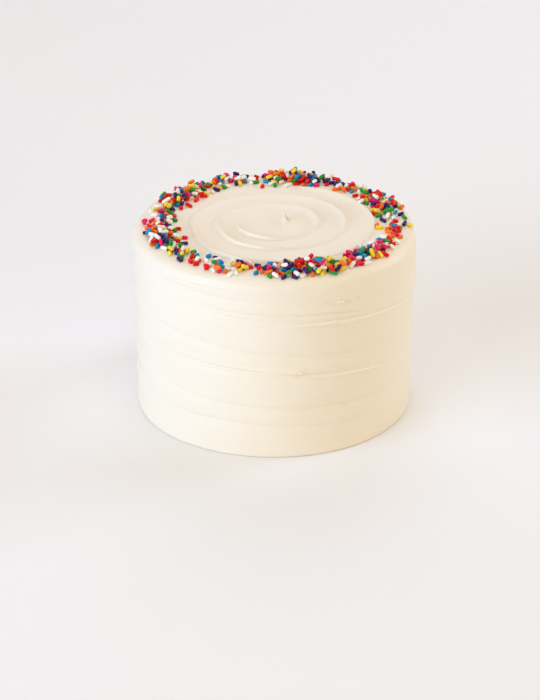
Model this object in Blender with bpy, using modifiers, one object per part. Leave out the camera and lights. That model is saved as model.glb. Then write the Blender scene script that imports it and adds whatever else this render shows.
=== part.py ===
"""A tall round cake in vanilla icing with a ring of rod sprinkles round its top, as one solid.

Units are metres, +Z is up and the origin is the middle of the base. Angles run
anticlockwise seen from above, from +X, and the front of the cake faces -Y.
"""

import math
import random
from collections import namedtuple

import bmesh
import bpy
import numpy as np
from mathutils import Matrix, Vector

# The cake: six inches of sponge in its icing
CAKE_RADIUS = 0.0825
CAKE_HEIGHT = 0.1100
RIM_ROUNDING = 0.0060
RIM_PROUD = 0.0006
FOOT_ROUNDING = 0.0012
ROUNDING_STEPS = 4
FACETS = 60

# The wall: two spatula lines that wind down it together and leave a narrow and a wide band
BAND_PITCH = 0.0330
NARROW_BAND = 0.0110
GROOVE_DEPTH = 0.0014
LIP_RUN = 0.0016
BAND_FALL = 1.5
NARROW_ROWS = 3
WIDE_ROWS = 4
FRONT_LINE_DEPTH = 0.0122
FRONT_SHARE = 0.75
WALL_TURNS = 5

# The swirl on top: one ridge that winds outwards, by how far out it is after so many turns
SWIRL_PATH = (
    (0.00, 0.0210),
    (0.13, 0.0233),
    (0.35, 0.0246),
    (0.70, 0.0263),
    (0.88, 0.0297),
    (0.97, 0.0340),
    (1.09, 0.0342),
    (1.24, 0.0371),
    (1.41, 0.0415),
    (1.70, 0.0420),
    (1.88, 0.0456),
    (1.98, 0.0493),
    (2.04, 0.0487),
    (2.16, 0.0545),
    (2.24, 0.0568),
    (2.40, 0.0581),
    (2.75, 0.0580),
)
SWIRL_BLEND = 0.02
BLEND_SHIFTS = 7
SWIRL_START_ANGLE = math.pi
SWIRL_TURNS = 2.75
SWIRL_STEPS = 28
SWIRL_CREST = 0.0017
SWIRL_RAMP = 0.0085
SWIRL_DROP = 0.0019
SWIRL_SUNK = 0.0012
SWIRL_FOOT_SUNK = 0.0001
SWIRL_HOLLOW = 0.45
SWIRL_HOLLOW_RISE = 0.35
SWIRL_FADE_TURNS = 0.2
SWIRL_FADE_RADIUS = 0.15

# The curl of icing left in the middle where the spatula was lifted
CURL_X = 0.0072
CURL_Y = 0.0038
CURL_RADIUS = 0.0042
CURL_TIP_RADIUS = 0.0006
CURL_HEIGHT = 0.0048
CURL_SUNK = 0.0012
CURL_LEAN = -0.0016
CURL_SIDES = 10

# The sprinkles: the first of the ring to fall, of all that the ring has
SPRINKLE_SEED = 159
RING_SPRINKLES = 640
FUSED_SPRINKLES = 228
SPRINKLE_RADIUS = 0.00115
SPRINKLE_LENGTHS = (0.0028, 0.0038, 0.0058)
SPRINKLE_SIDES = 6
SPRINKLE_SUNK = 0.00035
SPRINKLE_ROLL = math.radians(137.5)
STEEPEST_REST = 1.2
ROLL_STEP = 0.0009
MOST_ROLLS = 3
LEAST_DROP = 0.0001
RING_RADIUS = 0.0692
RING_SPREAD = 0.0046
RING_EDGES = (0.0570, 0.0775)
RING_SHIFT = 0.0016
HEAPED_SHARE = 0.42
HEAP_SPREAD = 0.16
HEAPS = ((22, 0.7), (82, 1.2), (112, 0.4), (148, 1.6), (197, 1.0), (287, 2.0), (318, 0.9))

# The height map that the sprinkles fall on
MAP_HALF = 0.0900
MAP_STEP = 0.0004
STATIONS = 9
ACROSS = (-0.7, 0.0, 0.7)

# Colours in linear light, and how many of each sprinkle colour there are in a hundred
ICING_COLOUR = (0.93, 0.86, 0.72)
ICING_ROUGHNESS = 0.5
SPRINKLE_ROUGHNESS = 0.3
SPRINKLE_COLOURS = {
    "red": ((0.74, 0.012, 0.012), 19),
    "orange": ((0.95, 0.20, 0.01), 14),
    "yellow": ((0.98, 0.72, 0.06), 9),
    "green": ((0.03, 0.29, 0.05), 10),
    "blue": ((0.01, 0.26, 0.52), 10),
    "purple": ((0.055, 0.01, 0.115), 11),
    "pink": ((0.84, 0.015, 0.16), 7),
    "white": ((0.93, 0.87, 0.79), 20),
}

# Points this near are one point, and an edge this sharp isn't shaded smooth
WELD = 0.00002
SHARP_ANGLE = math.radians(30)

Sprinkle = namedtuple("Sprinkle", "x y heading length colour")
Rest = namedtuple("Rest", "sprinkle height slope")


def clear_scene():
    """Removes the objects that the file opened with."""
    for obj in list(bpy.data.objects):
        bpy.data.objects.remove(obj, do_unlink=True)


def make_material(name, colour, roughness):
    """A Principled material of one colour."""
    material = bpy.data.materials.new(name)
    material.use_nodes = True
    shader = material.node_tree.nodes["Principled BSDF"]
    shader.inputs["Base Color"].default_value = (*colour, 1.0)
    shader.inputs["Roughness"].default_value = roughness
    shader.inputs["Metallic"].default_value = 0.0
    return material


def new_collection(name):
    """A collection of the scene."""
    collection = bpy.data.collections.new(name)
    bpy.context.scene.collection.children.link(collection)
    return collection


def mesh_object(name, mesh, collection, material):
    """An object that shows the mesh, all of one material."""
    obj = bpy.data.objects.new(name, mesh)
    collection.objects.link(obj)
    mesh.materials.clear()
    mesh.materials.append(material)
    return obj


def polyline_mesh(name, points):
    """An open chain of edges through the points."""
    mesh = bpy.data.meshes.new(name)
    mesh.from_pydata(points, [(i, i + 1) for i in range(len(points) - 1)], [])
    return mesh


def apply_modifiers(obj):
    """Gives the object the mesh that its modifiers make of it, and removes them."""
    graph = bpy.context.evaluated_depsgraph_get()
    made = bpy.data.meshes.new_from_object(obj.evaluated_get(graph))
    obj.modifiers.clear()
    obj.data = made


def turned(name, points, collection, material, drop=0.0, turns=1):
    """A profile turned about Z. With a drop for each turn, it winds down as it goes round."""
    obj = mesh_object(name, polyline_mesh(name, points), collection, material)
    screw = obj.modifiers.new("Screw", "SCREW")
    screw.axis = "Z"
    screw.angle = 2 * math.pi
    screw.screw_offset = -drop
    screw.iterations = turns
    screw.steps = FACETS
    screw.render_steps = FACETS
    screw.use_merge_vertices = drop == 0.0
    screw.merge_threshold = WELD
    apply_modifiers(obj)
    weld(obj.data)
    return obj


def weld(mesh):
    """Merges the points that two turns, or a curve's cap and its side, have in common."""
    shape = bmesh.new()
    shape.from_mesh(mesh)
    bmesh.ops.remove_doubles(shape, verts=shape.verts, dist=WELD)
    shape.to_mesh(mesh)
    shape.free()


def join(obj, operation, other=None, collection=None):
    """Applies one Boolean with an object or with all that a collection holds."""
    cut = obj.modifiers.new(operation, "BOOLEAN")
    cut.operation = operation
    cut.solver = "MANIFOLD" if collection else "EXACT"
    cut.material_mode = "TRANSFER"
    if collection:
        cut.operand_type = "COLLECTION"
        cut.collection = collection
    else:
        cut.object = other
    apply_modifiers(obj)


def band_points(top, width, rows):
    """(depth, inset) down one band: in at its spatula line, out at its lip, then slowly in again."""
    points = [(top, GROOVE_DEPTH)]
    for row in range(rows):
        share = row / rows
        points.append((top + LIP_RUN + (width - LIP_RUN) * share, GROOVE_DEPTH * share**BAND_FALL))
    return points


def banded_wall(collection, material):
    """The wall with its winding bands, cut level at the base and the top and closed there."""
    bands = band_points(0.0, NARROW_BAND, NARROW_ROWS)
    bands += band_points(NARROW_BAND, BAND_PITCH - NARROW_BAND, WIDE_ROWS)
    bands.append((BAND_PITCH, GROOVE_DEPTH))
    front_line = CAKE_HEIGHT - FRONT_LINE_DEPTH
    start = front_line + (FRONT_SHARE + 1) * BAND_PITCH
    profile = [(CAKE_RADIUS - inset, 0.0, start - depth) for depth, inset in bands]
    wall = turned("wall", profile, collection, material, drop=BAND_PITCH, turns=WALL_TURNS)
    shape = bmesh.new()
    shape.from_mesh(wall.data)
    for height, side in ((0.0, -1.0), (CAKE_HEIGHT, 1.0)):
        bmesh.ops.bisect_plane(
            shape,
            geom=shape.verts[:] + shape.edges[:] + shape.faces[:],
            plane_co=(0.0, 0.0, height),
            plane_no=(0.0, 0.0, side),
            clear_outer=True,
        )
    rims = [edge for edge in shape.edges if edge.is_boundary]
    bmesh.ops.holes_fill(shape, edges=rims, sides=0)
    bmesh.ops.recalc_face_normals(shape, faces=shape.faces)
    shape.to_mesh(wall.data)
    shape.free()
    return wall


def rounded_outline():
    """The outline that rounds the rim and the foot, from the middle of the top down to the base."""
    reach = CAKE_RADIUS + RIM_PROUD
    points = [(0.0, 0.0, CAKE_HEIGHT)]
    for step in range(ROUNDING_STEPS + 1):
        angle = 0.5 * math.pi * (1 - step / ROUNDING_STEPS)
        out = reach - RIM_ROUNDING * (1 - math.cos(angle))
        points.append((out, 0.0, CAKE_HEIGHT - RIM_ROUNDING * (1 - math.sin(angle))))
    for step in range(ROUNDING_STEPS + 1):
        angle = 0.5 * math.pi * step / ROUNDING_STEPS
        out = reach - FOOT_ROUNDING * (1 - math.cos(angle))
        points.append((out, 0.0, FOOT_ROUNDING * (1 - math.sin(angle))))
    points.append((0.0, 0.0, 0.0))
    return points


def swirl_radius(turns):
    """How far out the swirl's crest is after so many turns, evened out a little either way."""
    knots, radii = zip(*SWIRL_PATH)
    shifts = np.linspace(-SWIRL_BLEND, SWIRL_BLEND, BLEND_SHIFTS)
    return sum(np.interp(turns + shift, knots, radii) for shift in shifts) / BLEND_SHIFTS


def swirl_fade(turns):
    """The swirl's size, which grows at its start and shrinks at its end."""
    from_end = np.minimum(turns, SWIRL_TURNS - turns) / SWIRL_FADE_TURNS
    return SWIRL_FADE_RADIUS + (1 - SWIRL_FADE_RADIUS) * np.clip(from_end, 0.0, 1.0)


def swirl_section(collection):
    """The ridge's section: a long ramp up from the inside, and a short drop on the outside."""
    corners = [
        (-SWIRL_RAMP, -SWIRL_FOOT_SUNK),
        (-SWIRL_RAMP * SWIRL_HOLLOW, SWIRL_CREST * SWIRL_HOLLOW_RISE),
        (0.0, SWIRL_CREST),
        (SWIRL_DROP, -SWIRL_FOOT_SUNK),
        (SWIRL_DROP, -SWIRL_SUNK),
        (-SWIRL_RAMP, -SWIRL_SUNK),
    ]
    curve = bpy.data.curves.new("swirl_section", "CURVE")
    curve.dimensions = "2D"
    spline = curve.splines.new("POLY")
    spline.points.add(len(corners) - 1)
    for point, (across, up) in zip(spline.points, corners):
        point.co = (across, up, 0.0, 1.0)
    spline.use_cyclic_u = True
    section = bpy.data.objects.new("swirl_section", curve)
    collection.objects.link(section)
    return section


def swirl_ridge(collection, material):
    """The swirl's ridge as a closed mesh: its section carried along the spiral."""
    section = swirl_section(collection)
    curve = bpy.data.curves.new("swirl", "CURVE")
    curve.dimensions = "3D"
    curve.twist_mode = "Z_UP"
    curve.bevel_mode = "OBJECT"
    curve.bevel_object = section
    curve.use_fill_caps = True
    steps = round(SWIRL_TURNS * SWIRL_STEPS)
    spline = curve.splines.new("POLY")
    spline.points.add(steps)
    for step, point in enumerate(spline.points):
        turns = SWIRL_TURNS * step / steps
        angle = SWIRL_START_ANGLE + 2 * math.pi * turns
        out = swirl_radius(turns)
        point.co = (out * math.cos(angle), out * math.sin(angle), CAKE_HEIGHT, 1.0)
        point.radius = swirl_fade(turns)
    path = bpy.data.objects.new("swirl_path", curve)
    collection.objects.link(path)
    bpy.context.view_layer.update()
    graph = bpy.context.evaluated_depsgraph_get()
    mesh = bpy.data.meshes.new_from_object(path.evaluated_get(graph))
    ridge = mesh_object("swirl", mesh, collection, material)
    ridge.matrix_world = path.matrix_world
    for helper in (path, section):
        bpy.data.objects.remove(helper, do_unlink=True)
    close_outwards(ridge.data)
    return ridge


def close_outwards(mesh):
    """Welds the mesh and turns its faces outwards."""
    weld(mesh)
    shape = bmesh.new()
    shape.from_mesh(mesh)
    bmesh.ops.recalc_face_normals(shape, faces=shape.faces)
    shape.to_mesh(mesh)
    shape.free()


def centre_curl(collection, material):
    """The small peak in the middle: a cone whose tip leans to the left."""
    shape = bmesh.new()
    height = CURL_HEIGHT + CURL_SUNK
    bmesh.ops.create_cone(
        shape,
        segments=CURL_SIDES,
        radius1=CURL_RADIUS,
        radius2=CURL_TIP_RADIUS,
        depth=height,
        cap_ends=True,
        matrix=Matrix.Translation((0.0, 0.0, 0.5 * height - CURL_SUNK)),
    )
    tip = [vert for vert in shape.verts if vert.co.z > 0.5 * CURL_HEIGHT]
    bmesh.ops.translate(shape, verts=tip, vec=(CURL_LEAN, 0.0, 0.0))
    bmesh.ops.translate(shape, verts=shape.verts, vec=(CURL_X, CURL_Y, CAKE_HEIGHT))
    mesh = bpy.data.meshes.new("curl")
    shape.to_mesh(mesh)
    shape.free()
    return mesh_object("curl", mesh, collection, material)


def draw_sprinkles():
    """Every sprinkle of the ring, in the order in which they fall."""
    draw = random.Random(SPRINKLE_SEED)
    heaps = [math.radians(angle) for angle, _ in HEAPS]
    shares = [share for _, share in HEAPS]
    colours = list(SPRINKLE_COLOURS)
    counts = [count for _, count in SPRINKLE_COLOURS.values()]
    shortest, usual, longest = SPRINKLE_LENGTHS
    drawn = []
    for _ in range(RING_SPRINKLES):
        angle = draw.uniform(0.0, 2 * math.pi)
        if draw.random() < HEAPED_SHARE:
            angle = draw.gauss(draw.choices(heaps, shares)[0], HEAP_SPREAD)
        out = min(max(draw.gauss(RING_RADIUS, RING_SPREAD), RING_EDGES[0]), RING_EDGES[1])
        drawn.append(
            Sprinkle(
                RING_SHIFT + out * math.cos(angle),
                out * math.sin(angle),
                draw.uniform(0.0, math.pi),
                draw.triangular(shortest, longest, usual),
                draw.choices(colours, counts)[0],
            )
        )
    return drawn


def top_heights(x, y):
    """The height of the icing's top surface at each point, with its rounded rim and its swirl."""
    out = np.hypot(x, y)
    into_rim = np.clip(out - (CAKE_RADIUS + RIM_PROUD - RIM_ROUNDING), 0.0, RIM_ROUNDING)
    height = CAKE_HEIGHT - RIM_ROUNDING + np.sqrt(RIM_ROUNDING**2 - into_rim**2)
    first = np.mod(np.arctan2(y, x) - SWIRL_START_ANGLE, 2 * math.pi) / (2 * math.pi)
    lift = np.zeros_like(height)
    for whole in range(math.ceil(SWIRL_TURNS)):
        turns = first + whole
        inside = swirl_radius(turns) - out
        ridge = np.where(inside > 0, 1 - inside / SWIRL_RAMP, 1 + inside / SWIRL_DROP)
        lift = np.maximum(lift, np.clip(ridge, 0.0, 1.0) * swirl_fade(turns) * (turns < SWIRL_TURNS))
    return height + SWIRL_CREST * lift


def rest_on(heights, sprinkle):
    """How the sprinkle lies once it has fallen: on the two points below that hold up its middle."""
    along = np.linspace(-0.5, 0.5, STATIONS) * sprinkle.length
    across = np.array(ACROSS) * SPRINKLE_RADIUS
    cos, sin = math.cos(sprinkle.heading), math.sin(sprinkle.heading)
    x = sprinkle.x + along[:, None] * cos - across[None, :] * sin
    y = sprinkle.y + along[:, None] * sin + across[None, :] * cos
    column = np.round((x + MAP_HALF) / MAP_STEP).astype(int)
    row = np.round((y + MAP_HALF) / MAP_STEP).astype(int)
    needed = (heights[row, column] + np.sqrt(SPRINKLE_RADIUS**2 - across**2)[None, :]).max(axis=1)
    middle = STATIONS // 2
    best = (needed[middle], 0.0)
    for back in range(middle):
        for fore in range(middle + 1, STATIONS):
            slope = (needed[fore] - needed[back]) / (along[fore] - along[back])
            best = max(best, (needed[back] - slope * along[back], slope))
    slope = min(max(best[1], -STEEPEST_REST), STEEPEST_REST)
    return Rest(sprinkle, float((needed - slope * along).max()), float(slope))


def map_cells(low, high):
    """The height map's rows or columns from one place to another."""
    return np.arange(math.floor((low + MAP_HALF) / MAP_STEP), math.ceil((high + MAP_HALF) / MAP_STEP))


def pile_up(heights, rest):
    """Raises the height map where the resting sprinkle now lies."""
    sprinkle = rest.sprinkle
    reach = 0.5 * sprinkle.length + SPRINKLE_RADIUS
    columns = map_cells(sprinkle.x - reach, sprinkle.x + reach)
    rows = map_cells(sprinkle.y - reach, sprinkle.y + reach)
    x = columns[None, :] * MAP_STEP - MAP_HALF - sprinkle.x
    y = rows[:, None] * MAP_STEP - MAP_HALF - sprinkle.y
    along = x * math.cos(sprinkle.heading) + y * math.sin(sprinkle.heading)
    across = y * math.cos(sprinkle.heading) - x * math.sin(sprinkle.heading)
    covered = (np.abs(along) <= 0.5 * sprinkle.length) & (np.abs(across) < SPRINKLE_RADIUS)
    round_top = np.sqrt(np.clip(SPRINKLE_RADIUS**2 - across**2, 0.0, None))
    top = np.where(covered, rest.height + rest.slope * along + round_top, 0.0)
    patch = heights[rows[0] : rows[-1] + 1, columns[0] : columns[-1] + 1]
    np.maximum(patch, top, out=patch)


def beside(sprinkle):
    """The places a short roll or slide away, as far as they are within the ring."""
    for quarter in range(4):
        way = sprinkle.heading + 0.5 * math.pi * quarter
        x = sprinkle.x + ROLL_STEP * math.cos(way)
        y = sprinkle.y + ROLL_STEP * math.sin(way)
        if RING_EDGES[0] < math.hypot(x - RING_SHIFT, y) < RING_EDGES[1]:
            yield sprinkle._replace(x=x, y=y)


def settle(heights, sprinkle):
    """Lets a sprinkle fall, and then roll or slide downhill a little."""
    rest = rest_on(heights, sprinkle)
    for _ in range(MOST_ROLLS):
        others = [rest_on(heights, moved) for moved in beside(rest.sprinkle)]
        lowest = min(others, key=lambda other: other.height)
        if lowest.height > rest.height - LEAST_DROP:
            break
        rest = lowest
    return rest


def fallen_sprinkles(count):
    """The first so many sprinkles, each resting on the icing or on those that fell before it."""
    ticks = np.arange(-MAP_HALF, MAP_HALF + MAP_STEP, MAP_STEP)
    heights = top_heights(ticks[None, :], ticks[:, None])
    fallen = []
    for sprinkle in draw_sprinkles()[:count]:
        rest = settle(heights, sprinkle)
        pile_up(heights, rest)
        fallen.append(rest)
    return fallen


def sprinkle_rod(name, rest, roll, collection, material):
    """One sprinkle: a prism along its heading, rolled, tilted to its slope and pressed in a little."""
    sprinkle = rest.sprinkle
    along = Vector((math.cos(sprinkle.heading), math.sin(sprinkle.heading), rest.slope))
    turn = along.to_track_quat("Z", "Y").to_matrix().to_4x4() @ Matrix.Rotation(roll, 4, "Z")
    place = Matrix.Translation((sprinkle.x, sprinkle.y, rest.height - SPRINKLE_SUNK))
    shape = bmesh.new()
    bmesh.ops.create_cone(
        shape,
        segments=SPRINKLE_SIDES,
        radius1=SPRINKLE_RADIUS,
        radius2=SPRINKLE_RADIUS,
        depth=sprinkle.length,
        cap_ends=True,
        matrix=place @ turn,
    )
    mesh = bpy.data.meshes.new(name)
    shape.to_mesh(mesh)
    shape.free()
    return mesh_object(name, mesh, collection, material)


def keep_outer_shell(mesh):
    """Keeps the largest closed shell: a hollow sealed by fusing is filled, and a loose scrap goes."""
    shape = bmesh.new()
    shape.from_mesh(mesh)
    left = set(shape.verts)
    shells = []
    while left:
        reached = [left.pop()]
        for vert in reached:
            found = {edge.other_vert(vert) for edge in vert.link_edges} & left
            left -= found
            reached.extend(found)
        shells.append(reached)
    shells.sort(key=len)
    for shell in shells[:-1]:
        bmesh.ops.delete(shape, geom=shell, context="VERTS")
    bmesh.ops.triangulate(shape, faces=shape.faces)
    shape.to_mesh(mesh)
    shape.free()


def main():
    clear_scene()
    parts = new_collection("sprinkle_cake")
    toppings = new_collection("toppings")
    icing = make_material("vanilla_icing", ICING_COLOUR, ICING_ROUGHNESS)
    colours = {
        name: make_material(f"{name}_sprinkle", colour, SPRINKLE_ROUGHNESS)
        for name, (colour, _) in SPRINKLE_COLOURS.items()
    }

    cake = banded_wall(parts, icing)
    cake.name = "cake"
    rounding = turned("rounding", rounded_outline(), toppings, icing)
    join(cake, "INTERSECT", other=rounding)
    bpy.data.objects.remove(rounding, do_unlink=True)

    swirl_ridge(toppings, icing)
    centre_curl(toppings, icing)
    for index, rest in enumerate(fallen_sprinkles(FUSED_SPRINKLES)):
        roll = index * SPRINKLE_ROLL
        sprinkle_rod(f"sprinkle_{index}", rest, roll, toppings, colours[rest.sprinkle.colour])
    join(cake, "UNION", collection=toppings)
    for obj in list(toppings.objects):
        bpy.data.objects.remove(obj, do_unlink=True)
    bpy.data.collections.remove(toppings)

    keep_outer_shell(cake.data)
    cake.data.shade_smooth()
    cake.data.set_sharp_from_angle(angle=SHARP_ANGLE)


main()
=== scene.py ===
"""Dresses the vanilla sprinkle cake in its icing and in its ring of sprinkles.

Lengths are metres, +Z is up and the origin is the middle of the base. Angles run anticlockwise
seen from above, from +X. The front of the cake faces -Y, and places round its side are given in
turns anticlockwise from there. A depth is measured down from the top of the icing.
"""

import logging
import math
import random
from collections.abc import Callable, Iterator
from contextlib import contextmanager
from dataclasses import dataclass, field
from enum import Enum
from typing import NamedTuple

import bpy
import numpy as np
from mathutils import Matrix, Vector


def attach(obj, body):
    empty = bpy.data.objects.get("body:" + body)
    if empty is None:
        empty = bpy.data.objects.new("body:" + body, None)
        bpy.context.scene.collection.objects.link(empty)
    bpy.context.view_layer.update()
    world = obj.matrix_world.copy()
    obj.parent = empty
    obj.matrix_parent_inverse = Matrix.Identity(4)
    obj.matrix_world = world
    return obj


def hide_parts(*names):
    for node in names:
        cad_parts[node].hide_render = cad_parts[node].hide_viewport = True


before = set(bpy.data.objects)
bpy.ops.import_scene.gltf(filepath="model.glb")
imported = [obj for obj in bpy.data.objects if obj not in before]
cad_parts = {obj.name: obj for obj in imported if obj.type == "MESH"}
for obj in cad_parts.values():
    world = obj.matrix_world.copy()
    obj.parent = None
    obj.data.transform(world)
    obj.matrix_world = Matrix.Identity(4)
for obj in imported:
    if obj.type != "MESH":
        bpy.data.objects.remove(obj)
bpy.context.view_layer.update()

log = logging.getLogger("cake")

WELD = 0.00001
SLIVER = 0.000001
HAIR_OF_A_TURN = 0.000001
BLEND_SAMPLES = 7
FULL_TURN = 2 * math.pi
FRONT = -0.5 * math.pi


def smooth_step(share: np.ndarray) -> np.ndarray:
    """A ramp from 0 to 1 that starts and ends level."""
    share = np.clip(share, 0.0, 1.0)
    return share * share * (3.0 - 2.0 * share)


def bell(distance: np.ndarray, width: float) -> np.ndarray:
    """A soft bump that is 1 in the middle and fades out over its width."""
    return np.exp(-np.square(distance / width))


def crowded(rows: int, crowding: float) -> np.ndarray:
    """Row places from 0 to 1 that crowd towards both ends.

    Args:
        rows: how many gaps between rows there are.
        crowding: 0 for even gaps, towards 1 for narrow gaps at the ends.

    Returns:
        The places of the rows, one more than the gaps.
    """
    even = np.linspace(0.0, 1.0, rows + 1)
    return even - crowding * np.sin(FULL_TURN * even) / FULL_TURN


def blended(places: np.ndarray, corners: np.ndarray, values: np.ndarray, blend: float) -> np.ndarray:
    """A line with its corners rounded.

    Args:
        places: where to read it.
        corners: the places of its corners.
        values: its values at the corners.
        blend: how far before and after each place it is evened out.

    Returns:
        Its value at each place.
    """
    shifts = np.linspace(-blend, blend, BLEND_SAMPLES)
    return sum(np.interp(places + shift, corners, values) for shift in shifts) / len(shifts)


def turns_from_front(angle: np.ndarray) -> np.ndarray:
    """How far round from the front an angle is, from half a turn back to half a turn on."""
    turns = (angle - FRONT) / FULL_TURN
    return turns - np.round(turns - HAIR_OF_A_TURN)


@dataclass(frozen=True)
class Ripple:
    """Gentle unevenness: waves of several lengths that meet themselves after a full turn."""

    seed: int
    size: float
    waves: int = 14
    most_round: int = 9
    finest: float = 0.020
    coarsest_by_finest: float = 6.0

    def at(self, angle: np.ndarray, along: np.ndarray) -> np.ndarray:
        """The unevenness at an angle and a distance along the surface.

        Args:
            angle: angles round the cake.
            along: distances along the surface.

        Returns:
            How far the surface stands out there.
        """
        draw = random.Random(self.seed)
        total = np.zeros(np.broadcast(angle, along).shape)
        for _ in range(self.waves):
            rounds = draw.randint(0, self.most_round)
            length = draw.uniform(self.finest, self.coarsest_by_finest * self.finest)
            start = draw.uniform(0.0, FULL_TURN)
            total += np.cos(rounds * angle + FULL_TURN * along / length + start)
        return self.size * total / math.sqrt(self.waves)


def select_only(*pieces: bpy.types.Object) -> None:
    """Selects these pieces alone and makes the first of them active.

    Args:
        pieces: the pieces, or none to leave nothing selected.
    """
    bpy.ops.object.select_all(action="DESELECT")
    for piece in pieces:
        piece.select_set(True)
    if pieces:
        bpy.context.view_layer.objects.active = pieces[0]


@contextmanager
def editing(piece: bpy.types.Object) -> Iterator[None]:
    """Opens one piece in edit mode with all of it selected, and closes it again.

    Args:
        piece: the piece to shape.

    Returns:
        A context in which the piece is open.
    """
    select_only(piece)
    bpy.ops.object.mode_set(mode="EDIT")
    bpy.ops.mesh.select_all(action="SELECT")
    try:
        yield
    finally:
        bpy.ops.object.mode_set(mode="OBJECT")


def linked(name: str, data: bpy.types.ID) -> bpy.types.Object:
    """Puts a new object in the scene.

    Args:
        name: the object's name.
        data: its mesh, light or camera.

    Returns:
        The object.
    """
    made = bpy.data.objects.new(name, data)
    bpy.context.scene.collection.objects.link(made)
    return made


def mesh_points(mesh: bpy.types.Mesh) -> np.ndarray:
    """The places of a mesh's points, one row each.

    Args:
        mesh: the mesh to read.

    Returns:
        The places, in the order of the points.
    """
    places = np.empty(len(mesh.vertices) * 3)
    mesh.vertices.foreach_get("co", places)
    return places.reshape(-1, 3)


class Bent(NamedTuple):
    """Where a sheet's points go, how far across the spatula's stroke they lie, and how torn."""

    x: np.ndarray
    y: np.ndarray
    z: np.ndarray
    stroke: np.ndarray
    torn: np.ndarray | float = 0.0


Bend = Callable[[np.ndarray, np.ndarray], Bent]


def bent_sheet(name: str, columns: int, rows: int, bend: Bend) -> bpy.types.Object:
    """A flat grid that is bent into its place.

    Args:
        name: the sheet's name.
        columns: how many faces it has across.
        rows: how many faces it has from its first edge to its last.
        bend: gives the place of every point for arrays of column and row numbers.

    Returns:
        The sheet, with the stroke and the tears as attributes of its points.
    """
    select_only()
    bpy.ops.mesh.primitive_grid_add(x_subdivisions=columns, y_subdivisions=rows, size=2.0)
    sheet = bpy.context.object
    sheet.name = name
    flat = mesh_points(sheet.data)
    column = np.round((flat[:, 0] + 1.0) * 0.5 * columns)
    row = np.round((1.0 - flat[:, 1]) * 0.5 * rows).astype(int)
    bent = bend(column, row)
    sheet.data.vertices.foreach_set("co", np.stack([bent.x, bent.y, bent.z], axis=1).ravel())
    for kept, values in ((IcingFinish.STROKE, bent.stroke), (IcingFinish.TORN, bent.torn)):
        attribute = sheet.data.attributes.new(kept, "FLOAT", "POINT")
        spread = np.broadcast_to(values, column.shape).astype(np.float32)
        attribute.data.foreach_set("value", np.ascontiguousarray(spread))
    sheet.data.update()
    return sheet


def joined(name: str, sheets: list[bpy.types.Object]) -> bpy.types.Object:
    """Joins sheets that meet edge to edge into one closed piece with its faces outwards.

    Args:
        name: the piece's name.
        sheets: the sheets, which become the piece.

    Returns:
        The piece.
    """
    select_only(*sheets)
    bpy.ops.object.join()
    piece = bpy.context.object
    piece.name = name
    piece.data.name = name
    with editing(piece):
        bpy.ops.mesh.remove_doubles(threshold=WELD)
        bpy.ops.mesh.dissolve_degenerate(threshold=SLIVER)
        bpy.ops.mesh.select_all(action="SELECT")
        bpy.ops.mesh.normals_make_consistent(inside=False)
    bpy.ops.object.shade_smooth()
    return piece


def hand_over(piece: bpy.types.Object, material: bpy.types.Material) -> None:
    """Dresses a finished piece and sets it on the cake's body, in place of the plain cake part.

    Args:
        piece: the piece.
        material: its finish.
    """
    piece.data.materials.clear()
    piece.data.materials.append(material)
    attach(piece, "root")
    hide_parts("cake")
    faces = sum(len(face.vertices) - 2 for face in piece.data.polygons)
    log.info("%s: %d points, %d triangles", piece.name, len(piece.data.vertices), faces)


@dataclass(frozen=True)
class Signal:
    """What comes out of a shader node, as a value that Python can calculate with."""

    graph: "Graph"
    socket: bpy.types.NodeSocket

    def __add__(self, other: "Signal | float") -> "Signal":
        """This plus another."""
        return self.graph.math("ADD", self, other)

    __radd__ = __add__

    def __mul__(self, other: "Signal | float") -> "Signal":
        """This times another."""
        return self.graph.math("MULTIPLY", self, other)

    __rmul__ = __mul__


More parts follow.
